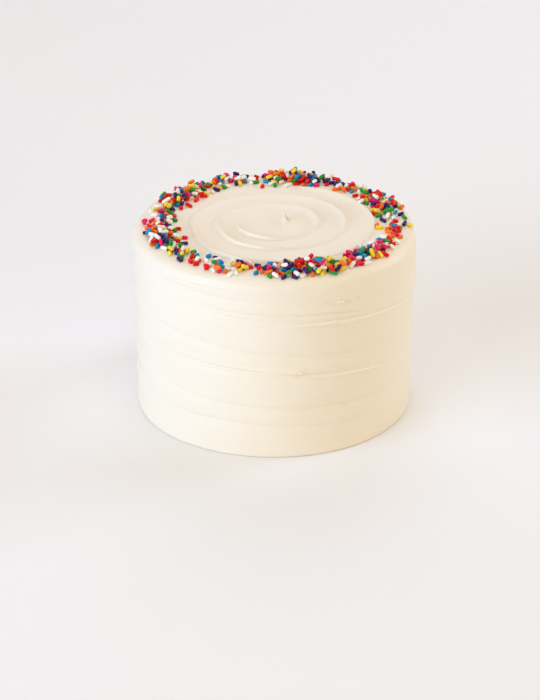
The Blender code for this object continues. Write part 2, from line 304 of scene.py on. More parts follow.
class Graph:
    """The nodes of one material, round its Principled shader."""

    def __init__(self, name: str) -> None:
        """Starts a material with its shader at its plain settings.

        Args:
            name: the material's name.
        """
        self.material = bpy.data.materials.new(name)
        self.material.use_nodes = True
        self.tree = self.material.node_tree
        self.shader = self.tree.nodes["Principled BSDF"]

    def node(
        self, kind: str, settings: dict | None = None, inputs: dict | None = None, output: str = ""
    ) -> Signal:
        """Adds a node.

        Args:
            kind: the node's type, without its ShaderNode.
            settings: what the node itself is set to.
            inputs: a value or a signal for each socket, by its name or number.
            output: the name of the output that is wanted, or nothing for the first.

        Returns:
            That output.
        """
        made = self.tree.nodes.new(f"ShaderNode{kind}")
        for setting, value in (settings or {}).items():
            setattr(made, setting, value)
        for socket, value in (inputs or {}).items():
            self.feed(made.inputs[socket], value)
        if output:
            return Signal(self, made.outputs[output])
        return Signal(self, next(out for out in made.outputs if out.enabled))

    def feed(self, socket: bpy.types.NodeSocket, value: "Signal | float | tuple") -> None:
        """Links a signal to a socket, or sets the socket to a value.

        Args:
            socket: the socket to feed.
            value: the signal or the value.
        """
        if isinstance(value, Signal):
            self.tree.links.new(value.socket, socket)
        else:
            socket.default_value = value

    def math(self, operation: str, first: "Signal | float", second: "Signal | float") -> Signal:
        """One sum on two values."""
        return self.node("Math", {"operation": operation}, {0: first, 1: second})

    def mix(self, share: Signal, first: tuple, second: tuple) -> Signal:
        """A colour that goes from the first to the second as the share rises."""
        inputs = {0: share, 6: (*first, 1.0), 7: (*second, 1.0)}
        return self.node("Mix", {"data_type": "RGBA"}, inputs)

    def attribute(self, name: str) -> Signal:
        """A number that the mesh keeps for each of its points."""
        return self.node("Attribute", {"attribute_name": name}, output="Fac")

    def place(self) -> Signal:
        """The place on the object, in metres."""
        return self.node("TexCoord", output="Object")

    def noise(self, vector: Signal, scale: float, detail: float, roughness: float = 0.5) -> Signal:
        """Cloudy noise from 0 to 1."""
        inputs = {"Vector": vector, "Scale": scale, "Detail": detail, "Roughness": roughness}
        return self.node("TexNoise", {"noise_dimensions": "3D"}, inputs)

    def bump(self, height: Signal, distance: float) -> Signal:
        """The normal of a surface with a fine relief, so many metres high."""
        return self.node("Bump", None, {"Height": height, "Distance": distance})

    def dress(self, **sockets: "Signal | float | tuple") -> bpy.types.Material:
        """Feeds the shader's sockets and gives the material.

        Args:
            sockets: a value or a signal for each, named with underscores for its spaces.

        Returns:
            The finished material.
        """
        for name, value in sockets.items():
            self.feed(self.shader.inputs[name.replace("_", " ")], value)
        return self.material


@dataclass(frozen=True)
class IcingFinish:
    """Vanilla buttercream smoothed with a spatula: creamy, satin, with faint strokes."""

    STROKE = "stroke"
    TORN = "torn"

    pale: tuple[float, float, float] = (0.900, 0.813, 0.675)
    warm: tuple[float, float, float] = (0.871, 0.773, 0.617)
    streaks_per_metre: float = 260.0
    streak_length: float = 14.0
    streak_share: float = 0.55
    streak_relief: float = 0.00010
    clouds_per_metre: float = 32.0
    pores_per_metre: float = 900.0
    pore_relief: float = 0.00005
    crumbs_per_metre: float = 950.0
    crumb_relief: float = 0.0005
    smoothest: float = 0.40
    roughened: float = 0.16

    def material(self) -> bpy.types.Material:
        """Makes the finish: streaks along each stroke, fine pores everywhere, crumbs where torn.

        Returns:
            The buttercream.
        """
        graph = Graph("buttercream")
        place = graph.place()
        across = graph.attribute(self.STROKE) * self.streak_length
        level = graph.node("VectorMath", {"operation": "MULTIPLY"}, {0: place, 1: (1.0, 1.0, 0.0)})
        lifted = graph.node("CombineXYZ", None, {"Z": across})
        wound = graph.node("VectorMath", {"operation": "ADD"}, {0: level, 1: lifted})
        streaks_per_stretch = self.streaks_per_metre / self.streak_length
        streaks = graph.noise(wound, streaks_per_stretch, detail=3.0, roughness=0.6)
        clouds = graph.noise(place, self.clouds_per_metre, detail=2.0)
        pores = graph.noise(place, self.pores_per_metre, detail=2.0, roughness=0.6)
        warmth = self.streak_share * streaks + (1 - self.streak_share) * clouds
        crumbs = graph.noise(place, self.crumbs_per_metre, detail=4.0, roughness=0.65)
        torn = graph.attribute(self.TORN) * crumbs
        relief = self.streak_relief * streaks + self.pore_relief * pores + self.crumb_relief * torn
        return graph.dress(
            Base_Color=graph.mix(warmth, self.pale, self.warm),
            Roughness=self.smoothest + self.roughened * pores,
            Normal=graph.bump(relief, distance=1.0),
            Subsurface_Weight=0.12,
            Subsurface_Radius=(0.0012, 0.0010, 0.0008),
            Subsurface_Scale=1.0,
            Specular_IOR_Level=0.42,
        )


class SprinkleColour(Enum):
    """What the sprinkles are coloured: linear colour, and how many in a hundred there are."""

    red = ((0.78, 0.004, 0.004), 21)
    orange = ((1.00, 0.18, 0.002), 14)
    yellow = ((1.00, 0.68, 0.04), 7)
    green = ((0.022, 0.29, 0.035), 10)
    blue = ((0.003, 0.26, 0.52), 10)
    purple = ((0.050, 0.008, 0.120), 11)
    pink = ((0.87, 0.008, 0.15), 7)
    white = ((1.00, 0.93, 0.84), 20)


@dataclass(frozen=True)
class SprinkleFinish:
    """Coloured sugar with a thin glaze, a little paler or deeper from one sprinkle to the next."""

    TINT = "tint"

    colour: SprinkleColour
    deepest: float = 0.84
    palest: float = 1.12
    tint_share: float = 0.75
    grains_per_metre: float = 2600.0
    grain_relief: float = 0.00003
    smoothest: float = 0.26
    roughened: float = 0.16

    def material(self) -> bpy.types.Material:
        """Makes the finish of one colour.

        Returns:
            The coloured sugar.
        """
        graph = Graph(f"{self.colour.name}_sugar")
        shade, _ = self.colour.value
        deep = tuple(self.deepest * part for part in shade)
        pale = tuple(min(self.palest * part, 1.0) for part in shade)
        tint = graph.attribute(self.TINT)
        grains = graph.noise(graph.place(), self.grains_per_metre, detail=2.0)
        share = self.tint_share * tint + (1 - self.tint_share) * grains
        return graph.dress(
            Base_Color=graph.mix(share, deep, pale),
            Roughness=self.smoothest + self.roughened * grains,
            Normal=graph.bump(grains, distance=self.grain_relief),
            Specular_IOR_Level=0.20,
            Coat_Weight=0.06,
            Coat_Roughness=0.12,
            Subsurface_Weight=0.05,
            Subsurface_Radius=(0.0006, 0.0005, 0.0004),
            Subsurface_Scale=1.0,
        )


@dataclass(frozen=True)
class FloorFinish:
    """Matte white board."""

    colour: tuple[float, float, float] = (0.885, 0.87, 0.87)
    palest: float = 1.01
    flecks_per_metre: float = 40.0
    smoothest: float = 0.7
    roughened: float = 0.1

    def material(self) -> bpy.types.Material:
        """Makes the finish.

        Returns:
            The matte white.
        """
        graph = Graph("floor_board")
        flecks = graph.noise(graph.place(), self.flecks_per_metre, detail=2.0)
        pale = tuple(self.palest * part for part in self.colour)
        return graph.dress(
            Base_Color=graph.mix(flecks, self.colour, pale),
            Roughness=self.smoothest + self.roughened * flecks,
            Specular_IOR_Level=0.2,
        )


class Knot(NamedTuple):
    """A place that a spatula line goes through, how deep it cuts and how proud its lip stands."""

    degrees: float
    depth: float
    strength: float
    lip: float = 0.0


def knots(*rows: tuple[float, ...]) -> tuple[Knot, ...]:
    """Knots from rows of degrees, depth, strength and, where it has one, lip."""
    return tuple(Knot(*row) for row in rows)


class Course(NamedTuple):
    """A spatula line as arrays: its depth below the top, how deep it cuts and its lip."""

    depth: np.ndarray
    strength: np.ndarray
    lip: np.ndarray


@dataclass(frozen=True)
class SpatulaLine:
    """A line that the spatula left, by its knots on each time round, the first time first."""

    times_round: tuple[tuple[Knot, ...], ...]
    blend: float = 0.035
    strength_blend: float = 0.0175
    wander: float = 0.00016
    slow_shakes: float = 5.3
    quick_shakes: float = 12.7
    phase: float = 0.0

    def follow(self, turns: np.ndarray) -> Course:
        """Follows the line.

        Args:
            turns: turns from the front on the first time round.

        Returns:
            Its course there. Before its first knot and past its last it goes on at its own rise.
        """
        wound = [(whole, knot) for whole, once in enumerate(self.times_round) for knot in once]
        places = np.array([whole + knot.degrees / 360 for whole, knot in wound])
        depths, strengths, lips = np.array([knot[1:] for _, knot in wound]).T
        past = np.minimum(turns - places[0], 0.0) + np.maximum(turns - places[-1], 0.0)
        rise = (depths[-1] - depths[0]) / (places[-1] - places[0])
        slow = np.sin(FULL_TURN * self.slow_shakes * turns + self.phase)
        quick = np.sin(FULL_TURN * self.quick_shakes * turns)
        return Course(
            blended(turns, places, depths, self.blend) + rise * past + self.wander * (slow + quick),
            blended(turns, places, strengths, self.strength_blend),
            blended(turns, places, lips, self.strength_blend),
        )


@dataclass(frozen=True)
class Mark:
    """A short fainter line: a notch, or with a dip below zero a fold that stands out."""

    knots: tuple[Knot, ...]
    dip: float = 0.00045
    run_above: float = 0.00080
    run_below: float = 0.00105

    def inset(self, turns: np.ndarray, depth: np.ndarray) -> np.ndarray:
        """How far in the surface is along the mark.

        Args:
            turns: turns from the front.
            depth: depths below the top.

        Returns:
            How far in the mark takes the surface there.
        """
        places = [knot.degrees / 360 for knot in self.knots]
        line = np.interp(turns, places, [knot.depth for knot in self.knots])
        strength = np.interp(turns, places, [knot.strength for knot in self.knots], 0.0, 0.0)
        below = depth - line
        fall = np.exp(np.minimum(below, 0.0) / self.run_above)
        notch = np.where(below < 0, fall, 1.0 - smooth_step(below / self.run_below))
        return self.dip * strength * notch


class Spot(NamedTuple):
    """A swelling, so many degrees wide, or a tear, so many metres, by its degrees and depth."""

    degrees: float
    depth: float
    wide: float
    high: float
    proud: float

    def turns_to(self, angle: np.ndarray) -> np.ndarray:
        """How far round from the spot each angle is, in turns."""
        return turns_from_front(angle - math.radians(self.degrees))


@dataclass(frozen=True)
class Scallops:
    """How the bands bulge at one flank: proud at a share of each band, and cut in at each depth."""

    degrees: float
    wide: float
    fullest: float
    proud: float
    cuts: tuple[tuple[float, float], ...]

    def inset(self, turns: np.ndarray, depth: np.ndarray, share: np.ndarray) -> np.ndarray:
        """How far in the surface lies, for its share of the way down its band.

        Args:
            turns: turns from the front.
            depth: depths below the top.
            share: how far down its band each place lies, from 0 to 1.

        Returns:
            How far in the scallops take the surface there.
        """
        depths, cuts = np.array(self.cuts).T
        hollow = 0.5 - 0.5 * np.cos(FULL_TURN * (share - self.fullest))
        cut = np.interp(depth, depths, cuts) * hollow - self.proud * (1 - hollow)
        return cut * bell(360 * turns - self.degrees, self.wide)


@dataclass(frozen=True)
class Body:
    """The cake's plain outline."""

    radius: float = 0.0825
    height: float = 0.1100
    rim: float = 0.0060
    rim_proud: float = 0.0006
    foot: float = 0.0012


@dataclass(frozen=True)
class Side:
    """The side of the cake: two spatula lines wind down it and leave a narrow and a wide band.

    Across a band the pillow bulges most at its fullest share of the way down. The under dip pinches
    the band in just above the line below it, a ledge leads back out under each line, and where the
    line has a lip, that stands proud below it. The lines' strengths scale all of these.
    """

    body: Body
    first: SpatulaLine
    second: SpatulaLine
    marks: tuple[Mark, ...]
    swellings: tuple[Spot, ...]
    tears: tuple[Spot, ...]
    scallops: tuple[Scallops, ...]
    pillow: float = 0.00020
    fullest: float = 0.35
    under_dip: float = 0.00045
    under_run: float = 0.00080
    ledge_run: float = 0.00620
    lip_run: float = 0.00120
    lip: float = 0.00100
    lip_tail: float = 0.00200
    streak_fall: float = 0.033
    flap_share: float = 0.7
    flap_below: float = 1.9
    torn_wide: float = 1.2
    torn_high: float = 2.2
    uneven: Ripple = field(default_factory=lambda: Ripple(seed=5, size=0.00016))
    combed: Ripple = field(
        default_factory=lambda: Ripple(seed=11, size=0.00003, most_round=3, finest=0.0022)
    )

    def lines(self, turns: np.ndarray) -> list[Course]:
        """Every line that crosses these places, from the top down.

        Args:
            turns: turns from the front.

        Returns:
            The courses of the two lines in turn, one pair for each time round.
        """
        found = []
        for whole in range(-1, len(self.first.times_round) + 2):
            found.append(self.first.follow(turns + whole))
            found.append(self.second.follow(turns + whole))
        return found

    def band_inset(self, turns: np.ndarray, depth: np.ndarray) -> np.ndarray:
        """How far in the two winding bands lie: full in the middle, cut in at each line.

        Args:
            turns: turns from the front.
            depth: depths below the top.

        Returns:
            How far in the bands take the surface there.
        """
        inset = np.zeros_like(depth)
        lines = self.lines(turns)
        high = np.square(2 * self.fullest)
        low = np.square(2 * (1 - self.fullest))
        for upper, lower in zip(lines, lines[1:]):
            share = (depth - upper.depth) / np.maximum(lower.depth - upper.depth, WELD)
            below = np.maximum(depth - upper.depth, 0.0)
            above = np.maximum(lower.depth - depth, 0.0)
            strength = upper.strength + (lower.strength - upper.strength) * share
            crown = self.pillow * strength * np.square(2 * (share - self.fullest))
            under = self.under_dip * lower.strength * np.exp(-above / self.under_run)
            step = (self.pillow * (low - high) + self.under_dip) * upper.strength
            ledge = step * (1 - smooth_step(below / self.ledge_run))
            past_lip = np.maximum(below - self.lip_run, 0.0)
            lip = smooth_step(below / self.lip_run) * np.exp(-past_lip / self.lip_tail)
            cut = sum(flank.inset(turns, depth, share) for flank in self.scallops)
            here = (depth >= upper.depth) & (depth < lower.depth)
            inset += np.where(here, crown + under + ledge + cut - self.lip * upper.lip * lip, 0.0)
        return inset

    def proud(self, angle: np.ndarray, depth: np.ndarray) -> np.ndarray:
        """How far the icing stands out from the plain cylinder at an angle and a depth.

        Args:
            angle: angles round the cake.
            depth: depths below the top.

        Returns:
            How far out the surface lies, below zero where it is cut in.
        """
        turns = turns_from_front(angle)
        total = self.uneven.at(angle, depth) + self.combed.at(angle, depth + self.streak_fall * turns)
        total -= self.band_inset(turns, depth)
        for mark in self.marks:
            total -= mark.inset(turns, depth)
        for spot in self.swellings:
            across = bell(360 * spot.turns_to(angle), spot.wide)
            total += spot.proud * across * bell(depth - spot.depth, spot.high)
        for spot in self.tears:
            across = bell(FULL_TURN * spot.turns_to(angle) * self.body.radius, spot.wide)
            pit = bell(depth - spot.depth, spot.high)
            flap = bell(depth - spot.depth - self.flap_below * spot.high, spot.high)
            total += spot.proud * across * (self.flap_share * flap - pit)
        return total

    def torn(self, angle: np.ndarray, depth: np.ndarray) -> np.ndarray:
        """How torn the icing is at an angle and a depth, from 0 to 1.

        Args:
            angle: angles round the cake.
            depth: depths below the top.

        Returns:
            How torn it is there.
        """
        total = np.zeros(np.broadcast(angle, depth).shape)
        for spot in self.tears:
            out_to = FULL_TURN * spot.turns_to(angle) * self.body.radius
            across = bell(out_to, self.torn_wide * spot.wide)
            total += across * bell(depth - spot.depth - spot.high, self.torn_high * spot.high)
        return np.minimum(total, 1.0)


@dataclass(frozen=True)
class Swirl:
    """The swirl on top: one ridge that winds outwards, steeper on its outer flank.

    The inner flank is a short steep rise at the end of a long ramp, and the outer flank a short fall
    at the top of a long drop. The lean, by the share of a turn, tells how much of each flank is the
    short part and how deep the groove at its foot is: below zero, the outer flank has the groove.
    The path gives the crest's distance from the middle, and the strengths its height, by the turns
    from its start.
    """

    start_angle: float = math.pi
    turns: float = 2.75
    crest: float = 0.0018
    rise: float = 0.0020
    ramp: float = 0.0042
    ramp_curve: float = 1.3
    fall: float = 0.0012
    drop: float = 0.0045
    drop_curve: float = 2.4
    steep_curve: float = 1.3
    groove: float = 0.0020
    groove_out: float = 0.0013
    groove_wide: float = 0.0008
    inner_steep: tuple[float, float] = (0.5, 0.5)
    outer_steep: tuple[float, float] = (0.7, -0.25)
    path_blend: float = 0.02
    strength_blend: float = 0.01
    lean: tuple[tuple[float, float], ...] = (
        (0.00, -0.2), (0.07, -0.4), (0.30, -0.4), (0.40, -0.7), (0.50, -1.0), (0.58, -1.0),
        (0.68, -0.6), (0.80, -0.3), (0.93, -0.1), (1.00, -0.2),
    )
    path: tuple[tuple[float, float], ...] = (
        (0.00, 0.0210), (0.02, 0.0210), (0.06, 0.0224), (0.13, 0.0238), (0.25, 0.0244), (0.35, 0.0250),
        (0.50, 0.0252), (0.70, 0.0263), (0.78, 0.0282), (0.88, 0.0297), (0.97, 0.0340), (1.04, 0.0334),
        (1.09, 0.0346), (1.15, 0.0372), (1.24, 0.0386), (1.32, 0.0404), (1.41, 0.0415), (1.52, 0.0412),
        (1.70, 0.0420), (1.80, 0.0434), (1.88, 0.0456), (1.98, 0.0493), (2.04, 0.0487), (2.10, 0.0514),
        (2.16, 0.0552), (2.24, 0.0572), (2.40, 0.0580), (2.60, 0.0582), (2.75, 0.0592),
    )
    strengths: tuple[tuple[float, float], ...] = (
        (0.00, 0.20), (0.03, 0.80), (0.12, 1.40), (0.22, 1.20), (0.29, 0.65), (0.36, 0.35),
        (0.42, 0.55), (0.51, 1.70), (0.57, 1.50), (0.68, 1.10), (0.82, 0.60), (0.93, 0.25),
        (0.98, 0.80), (1.08, 1.30), (1.22, 1.20), (1.30, 0.60), (1.37, 0.30), (1.44, 0.55),
        (1.51, 1.70), (1.57, 1.50), (1.66, 1.10), (1.82, 0.60), (1.92, 0.25), (1.98, 0.65),
        (2.08, 1.15), (2.24, 1.10), (2.36, 0.40), (2.50, 0.90), (2.64, 0.80), (2.75, 0.00),
    )

    def radius(self, turns: np.ndarray) -> np.ndarray:
        """How far out the crest is, which stays the same before its start and past its end."""
        places, radii = np.array(self.path).T
        return blended(turns, places, radii, self.path_blend)

    def strength(self, turns: np.ndarray) -> np.ndarray:
        """How high the crest is, as a share of its full height."""
        places, shares = np.array(self.strengths).T
        return blended(turns, places, shares, self.strength_blend)

    def ridge(self, turns: np.ndarray, inside: np.ndarray) -> np.ndarray:
        """The ridge's height across its crest.

        Args:
            turns: how far along the swirl.
            inside: how far inside the crest, below zero outside it.

        Returns:
            The height, with a groove at the foot of whichever flank is the steep one.
        """
        places, leans = np.array(self.lean).T
        lean = np.interp(np.mod(turns, 1.0), places, leans)
        inner, outer = self.inner_steep, self.outer_steep
        steep = np.where(inside > 0, inner[0] + inner[1] * lean, outer[0] + outer[1] * lean)
        short = np.where(inside > 0, self.rise, self.fall)
        long = np.where(inside > 0, self.ramp, self.drop)
        curve = np.where(inside > 0, self.ramp_curve, self.drop_curve)
        out = np.abs(inside)
        flank = steep * np.clip(1 - out / short, 0.0, 1.0) ** self.steep_curve
        flank += (1 - steep) * np.clip(1 - out / long, 0.0, 1.0) ** curve
        middle = np.sign(lean) * self.groove_out
        dug = self.groove * np.abs(lean) * bell(inside - middle, self.groove_wide)
        return self.crest * flank - dug

    def lift(self, x: np.ndarray, y: np.ndarray) -> np.ndarray:
        """How far the swirl raises the top at each point.

        Args:
            x: places on the top.
            y: places on the top.

        Returns:
            How far it is raised there.
        """
        out = np.hypot(x, y)
        first = np.mod(np.arctan2(y, x) - self.start_angle, FULL_TURN) / FULL_TURN
        lift = np.zeros_like(out)
        for whole in range(math.ceil(self.turns)):
            turns = first + whole
            ridge = self.ridge(turns, self.radius(turns) - out) * self.strength(turns)
            lift = np.maximum(lift, np.where(turns < self.turns, ridge, 0.0))
        return lift


@dataclass(frozen=True)
class Curl:
    """The little peak in the middle of the top, where the spatula was lifted off."""

    x: float = 0.0061
    y: float = 0.0042
    height: float = 0.0069
    reach: float = 0.0052
    steepness: float = 2.1
    left_squeeze: float = 2.0
    long_way: float = 1.55
    lean: float = -0.0002
    hollow: float = 0.0070
    hollow_x: float = 0.0009
    hollow_y: float = -0.0007
    hollow_width: float = 0.0012
    lean_curve: float = 1.5

    def raised(self, x: np.ndarray, y: np.ndarray) -> tuple[np.ndarray, np.ndarray]:
        """Raises the peak.

        Args:
            x: places on the flat top.
            y: places on the flat top.

        Returns:
            How far the peak leans along X there, and how high it is.
        """
        across = x - self.x
        across = np.where(across < 0, across * self.left_squeeze, across)
        out = np.hypot(across, (y - self.y) / self.long_way)
        share = np.clip(1 - out / self.reach, 0.0, 1.0) ** self.steepness
        into_x, into_y = x - self.x - self.hollow_x, y - self.y - self.hollow_y
        dent = bell(np.hypot(into_x, into_y), self.hollow_width)
        return self.lean * share**self.lean_curve, self.height * share - self.hollow * dent


@dataclass(frozen=True)
class Icing:
    """All of the icing as one closed piece, made of sheets whose rows follow the strokes."""

    body: Body
    side: Side
    swirl: Swirl
    curl: Curl
    columns: int = 270
    front_crowding: float = 0.50
    narrow_rows: int = 28
    wide_rows: int = 30
    band_crowding: float = 0.60
    swirl_crowding: float = 0.80
    wall_turns: tuple[float, float] = (-1.4, 3.2)
    rim_rows: int = 16
    shoulder_rows: int = 10
    swirl_rows: int = 18
    middle_rows: int = 30
    middle_crowding: float = 1.7
    foot_rows: int = 5
    top_uneven: Ripple = field(
        default_factory=lambda: Ripple(seed=3, size=0.00010, most_round=5, finest=0.016)
    )

    def angle(self, column: np.ndarray) -> np.ndarray:
        """The angle of a column. Columns crowd towards the front, where the detail is."""
        even = FULL_TURN * column / self.columns + FRONT
        return even - self.front_crowding * np.sin(even - FRONT)

    def top_height(self, x: np.ndarray, y: np.ndarray) -> np.ndarray:
        """The height of the top's surface, with its rounded rim and its swirl.

        Args:
            x: places on the top.
            y: places on the top.

        Returns:
            The height there.
        """
        out = np.hypot(x, y)
        rim = self.body.rim
        into_rim = np.clip(out - (self.body.radius + self.body.rim_proud - rim), 0.0, rim)
        return self.body.height - rim + np.sqrt(rim**2 - into_rim**2) + self.swirl.lift(x, y)

    def top_point(self, x: np.ndarray, y: np.ndarray) -> tuple[np.ndarray, np.ndarray, np.ndarray]:
        """A point of the top, with the curl and the fine unevenness.

        Args:
            x: places on the flat top.
            y: places on the flat top.

        Returns:
            Where those places end up.
        """
        out = np.hypot(x, y)
        lean, raised = self.curl.raised(x, y)
        uneven = self.top_uneven.at(np.arctan2(y, x), out)
        fade = smooth_step(out / self.swirl.path[0][1])
        flat_end = smooth_step((self.body.radius - out) / self.body.rim)
        height = self.body.height + self.swirl.lift(x, y) + uneven * fade * flat_end + raised
        return x + lean, y, height

    def wall_sheet(self) -> bpy.types.Object:
        """The side between the rim and the foot. Its rows follow the two spatula lines.

        Returns:
            The sheet.
        """
        narrow = crowded(self.narrow_rows, self.band_crowding)
        wide = crowded(self.wide_rows, self.band_crowding)[1:]
        first_column = math.floor(self.wall_turns[0] * self.columns)
        columns = math.ceil(self.wall_turns[1] * self.columns) - first_column
        top, end = self.body.rim, self.body.height - self.body.foot

        def bend(column: np.ndarray, row: np.ndarray) -> Bent:
            """Winds the sheet round the cake.

            Args:
                column: column numbers.
                row: row numbers.

            Returns:
                Where those points go.
            """
            angle = self.angle(column + first_column)
            turns = (angle - FRONT) / FULL_TURN
            upper = np.clip(self.side.first.follow(turns).depth, top, end)
            middle = np.clip(self.side.second.follow(turns).depth, top, end)
            lower = np.clip(self.side.first.follow(turns + 1).depth, top, end)
            in_narrow = upper + (middle - upper) * narrow[np.minimum(row, self.narrow_rows)]
            past = np.clip(row - self.narrow_rows - 1, 0, self.wide_rows - 1)
            in_wide = middle + (lower - middle) * wide[past]
            depth = np.where(row <= self.narrow_rows, in_narrow, in_wide)
            out = self.body.radius + self.side.proud(angle, depth)
            stroke = depth - self.side.first.follow(turns).depth
            torn = self.side.torn(angle, depth)
            height = self.body.height - depth
            return Bent(out * np.cos(angle), out * np.sin(angle), height, stroke, torn)

        return bent_sheet("wall", columns, self.narrow_rows + self.wide_rows, bend)

    def rim_sheet(self) -> bpy.types.Object:
        """The rounded rim, and the level shoulder from it to the end of the swirl.

        Returns:
            The sheet.
        """
        rim = self.body.rim
        swirl_end = self.swirl.path[-1][1]

        def bend(column: np.ndarray, row: np.ndarray) -> Bent:
            """Turns the sheet over the rim and inwards.

            Args:
                column: column numbers.
                row: row numbers.

            Returns:
                Where those points go.
            """
            angle = self.angle(column)
            rise = 0.5 * math.pi * np.minimum(row / self.rim_rows, 1.0)
            depth = rim * (1 - np.sin(rise))
            proud = self.side.proud(angle, depth) * np.cos(rise)
            arc_out = self.body.radius + proud - rim * (1 - np.cos(rise))
            inwards = np.maximum(row - self.rim_rows, 0) / self.shoulder_rows
            out = arc_out + (swirl_end - arc_out) * inwards
            x, y = out * np.cos(angle), out * np.sin(angle)
            _, _, top = self.top_point(x, y)
            level = smooth_step(rise / (0.5 * math.pi))
            height = top * level + self.body.height * (1 - level) - depth
            return Bent(x, y, height, 2 * rim - depth - out)

        return bent_sheet("rim", self.columns, self.rim_rows + self.shoulder_rows, bend)

    def swirl_sheet(self) -> bpy.types.Object:
        """The swirl. Its rows follow the crest, and it narrows to nothing at both ends.

        Returns:
            The sheet.
        """
        shares = crowded(self.swirl_rows, self.swirl_crowding)
        start = (self.swirl.start_angle - FRONT) / FULL_TURN
        spare = self.front_crowding / FULL_TURN
        first_column = math.floor((start - 1 - spare) * self.columns)
        columns = math.ceil((start + self.swirl.turns + spare) * self.columns) - first_column

        def bend(column: np.ndarray, row: np.ndarray) -> Bent:
            """Winds the sheet outwards from the middle.

            Args:
                column: column numbers.
                row: row numbers.

            Returns:
                Where those points go.
            """
            angle = self.angle(column + first_column)
            turns = (angle - self.swirl.start_angle) / FULL_TURN
            inner = self.swirl.radius(turns)
            outer = self.swirl.radius(turns + 1)
            out = outer + (inner - outer) * shares[row]
            x, y, z = self.top_point(out * np.cos(angle), out * np.sin(angle))
            return Bent(x, y, z, outer - out)

        return bent_sheet("swirl", columns, self.swirl_rows, bend)

    def middle_sheet(self) -> bpy.types.Object:
        """The middle of the top. Its rings close in on the curl.

        Returns:
            The sheet.
        """
        start = self.swirl.path[0][1]

        def bend(column: np.ndarray, row: np.ndarray) -> Bent:
            """Draws the sheet in to the curl's tip.

            Args:
                column: column numbers.
                row: row numbers.

            Returns:
                Where those points go.
            """
            angle = self.angle(column)
            left = (1 - row / self.middle_rows) ** self.middle_crowding
            x = self.curl.x + left * (start * np.cos(angle) - self.curl.x)
            y = self.curl.y + left * (start * np.sin(angle) - self.curl.y)
            x, y, z = self.top_point(x, y)
            return Bent(x, y, z, start * (1 - left))

        return bent_sheet("middle", self.columns, self.middle_rows, bend)

    def foot_sheet(self) -> bpy.types.Object:
        """The rounded foot and the flat base.

        Returns:
            The sheet.
        """
        foot = self.body.foot

        def bend(column: np.ndarray, row: np.ndarray) -> Bent:
            """Turns the sheet under the cake.

            Args:
                column: column numbers.
                row: row numbers.

            Returns:
                Where those points go.
            """
            angle = self.angle(column)
            rise = 0.5 * math.pi * np.minimum(row / self.foot_rows, 1.0)
            proud = self.side.proud(angle, np.full_like(angle, self.body.height - foot))
            out = self.body.radius + proud - foot * (1 - np.cos(rise))
            out = np.where(row > self.foot_rows, 0.0, out)
            height = foot * (1 - np.sin(rise))
            return Bent(out * np.cos(angle), out * np.sin(angle), height, foot - height)

        return bent_sheet("foot", self.columns, self.foot_rows + 1, bend)

    def build(self, material: bpy.types.Material) -> bpy.types.Object:
        """Makes the icing and dresses it.

        Args:
            material: its buttercream.

        Returns:
            The icing.
        """
        sheets = [
            self.wall_sheet(),
            self.rim_sheet(),
            self.swirl_sheet(),
            self.middle_sheet(),
            self.foot_sheet(),
        ]
        icing = joined("icing", sheets)
        hand_over(icing, material)
        return icing


class Flap(NamedTuple):
    """A bit of icing that the spatula tore up, at degrees from the front and a depth."""

    degrees: float
    depth: float
    long: float
    high: float
    proud: float
    tilt: float = 0.0


@dataclass(frozen=True)
class TornFlaps:
    """The bits of icing that stand out from the side where the spatula tore it."""

    icing: Icing
    flaps: tuple[Flap, ...] = (
        Flap(26.4, 0.0155, 0.0050, 0.0016, 0.0012, 3.0),
        Flap(25.2, 0.0135, 0.0019, 0.0010, 0.0007, 12.0),
        Flap(32.6, 0.0156, 0.0013, 0.0013, 0.0008, 0.0),
        Flap(19.8, 0.0147, 0.0050, 0.0008, 0.0005, -4.0),
        Flap(10.0, 0.0561, 0.0030, 0.0011, 0.0010, 24.0),
        Flap(24.8, 0.0295, 0.0016, 0.0009, 0.0007, 8.0),
    )
    arch: float = 0.14
    wobble: float = 0.16
    waves_across: float = 5.0
    waves_up: float = 4.0
    steps: int = 3

    def flap(self, spot: Flap, number: int) -> bpy.types.Object:
        """Models one flap as an arched lump that is half sunk in the side.

        Args:
            spot: where it is, and how large.
            number: tells it from the others, which makes it uneven in its own way.

        Returns:
            The flap, in its place.
        """
        select_only()
        bpy.ops.mesh.primitive_ico_sphere_add(subdivisions=self.steps, radius=1.0)
        lump = bpy.context.object
        across, up, out = mesh_points(lump.data).T
        waves = np.sin(self.waves_across * across + number) * np.cos(self.waves_up * up - 2 * number)
        uneven = 1 + self.wobble * waves
        up = up * uneven - self.arch * (1 - across**2) * math.sqrt(number)
        angle = FRONT + math.radians(spot.degrees)
        depth = np.array(spot.depth)
        reach = self.icing.body.radius + float(self.icing.side.proud(np.array(angle), depth))
        tilt = math.radians(spot.tilt)
        along = 0.5 * spot.long * across
        above = 0.5 * spot.high * up
        flat = along * math.cos(tilt) - above * math.sin(tilt)
        rise = along * math.sin(tilt) + above * math.cos(tilt)
        turned = angle + flat / reach
        radius = reach + spot.proud * out * uneven
        height = self.icing.body.height - spot.depth + rise
        placed = np.stack([radius * np.cos(turned), radius * np.sin(turned), height], axis=1)
        lump.data.vertices.foreach_set("co", placed.ravel())
        lump.data.update()
        return lump

    def build(self, material: bpy.types.Material) -> bpy.types.Object:
        """Makes the flaps as one piece, of the same icing.

        Args:
            material: its buttercream.

        Returns:
            The flaps.
        """
        lumps = [self.flap(spot, number) for number, spot in enumerate(self.flaps)]
        piece = joined("torn_flaps", lumps)
        hand_over(piece, material)
        return piece


class Sprinkle(NamedTuple):
    """A sprinkle before it has fallen: where, which way it points, its length and its colour."""

    x: float
    y: float
    heading: float
    length: float
    colour: SprinkleColour


